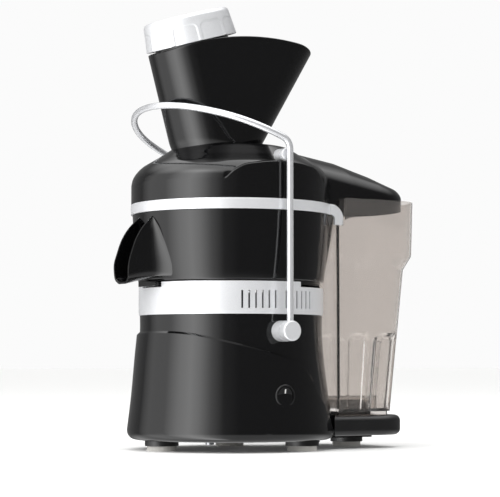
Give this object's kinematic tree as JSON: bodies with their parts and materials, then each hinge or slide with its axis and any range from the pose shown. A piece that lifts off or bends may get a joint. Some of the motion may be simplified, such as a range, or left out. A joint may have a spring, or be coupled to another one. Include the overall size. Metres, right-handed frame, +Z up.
{
  "type": "centrifugal juicer",
  "caption": "Countertop centrifugal juicer with a leaning feed hopper, beak spout, vented trim band, swing-over locking arm and a smoky pulp container behind.",
  "frame": {"origin": "the middle of the footprint, in the plane of the feet's undersides, 35.15 mm behind the motor's drive axis", "axes": "+Z up along the drive axis, -Y towards the spout, +Y towards the pulp container, +X towards the switch"},
  "size_m": [0.226, 0.3198, 0.4409],
  "materials": {
    "gloss_black": "glossy moulded ABS",
    "satin_black": "satin moulded ABS",
    "silver_trim": "satin silver painted ABS",
    "polished_steel": "polished",
    "switch_black": "semi-gloss",
    "foot_rubber": "matte grey rubber",
    "black_rubber": "matte",
    "smoky_clear": "clear smoky moulded polycarbonate",
    "steel": "machined",
    "stainless": "etched stainless",
    "lamination": "stacked laminations",
    "copper": "enamelled copper",
    "carbon": "pressed carbon",
    "nylon": "moulded nylon"
  },
  "bodies": {
    "root": {"base_screws": "steel", "base_tray": "gloss_black", "bottom_bearing": "steel", "brush_holders": "satin_black", "brush_springs": "steel", "capacitor": "satin_black", "carbon_brushes": "carbon", "cord_inlet_gland": "black_rubber", "feed_hopper": "gloss_black", "field_windings": "copper", "foot_collars": "satin_black", "foot_pads": "foot_rubber", "front_skirt": "gloss_black", "interlock_switch": "satin_black", "juice_bowl": "gloss_black", "lid": "gloss_black", "lid_gasket": "black_rubber", "lid_stud_left": "silver_trim", "lid_stud_right": "silver_trim", "motor_bottom_bracket": "steel", "motor_deck": "satin_black", "motor_housing": "gloss_black", "motor_screws": "steel", "motor_top_bracket": "steel", "pivot_boss_left": "silver_trim", "pivot_boss_right": "silver_trim", "platform_rail": "satin_black", "pulp_platform": "satin_black", "rubber_mounts": "black_rubber", "shaft_seal": "black_rubber", "stator_core": "lamination", "switch_bezel": "switch_black", "switch_body": "satin_black", "terminal_block": "satin_black", "top_bearing": "steel", "trim_ring": "silver_trim", "vent_band": "silver_trim"},
    "rotor": {"motor_shaft": "steel", "armature_core": "lamination", "armature_windings": "copper", "commutator": "copper", "cooling_fan": "satin_black", "drive_coupling": "nylon", "filter_basket": "stainless", "grater_disc": "stainless", "basket_screws": "steel"},
    "arm": {"locking_arm": "polished_steel", "arm_knuckle_right": "silver_trim", "arm_knuckle_left": "silver_trim", "arm_axles": "polished_steel", "interlock_magnet": "satin_black", "axle_clip": "polished_steel"},
    "rocker": {"switch_rocker": "switch_black"},
    "container": {"pulp_container": "smoky_clear"},
    "pusher": {"pusher_body": "gloss_black", "pusher_cap": "silver_trim"}
  },
  "joints": [
    {"name": "drive_spin", "type": "hinge", "parent": "root", "child": "rotor", "pos_m": [0, -0.03515, 0.1], "axis": [0, 0, 1], "continuous": true},
    {"name": "arm_swing", "type": "hinge", "parent": "root", "child": "arm", "pos_m": [0, -0.03515, 0.116], "axis": [1, 0, 0], "range_deg": [0, 91]},
    {"name": "rocker_tilt", "type": "hinge", "parent": "root", "child": "rocker", "pos_m": [0.097, -0.03515, 0.054], "axis": [0, -1, 0], "range_deg": [0, 14]},
    {"name": "container_slide", "type": "slide", "parent": "root", "child": "container", "axis": [0, 1, 0], "range_m": [0, 0.13]},
    {"name": "pusher_slide", "type": "slide", "parent": "root", "child": "pusher", "axis": [0, -0.2689, 0.9632], "range_m": [0, 0.18]}
  ]
}
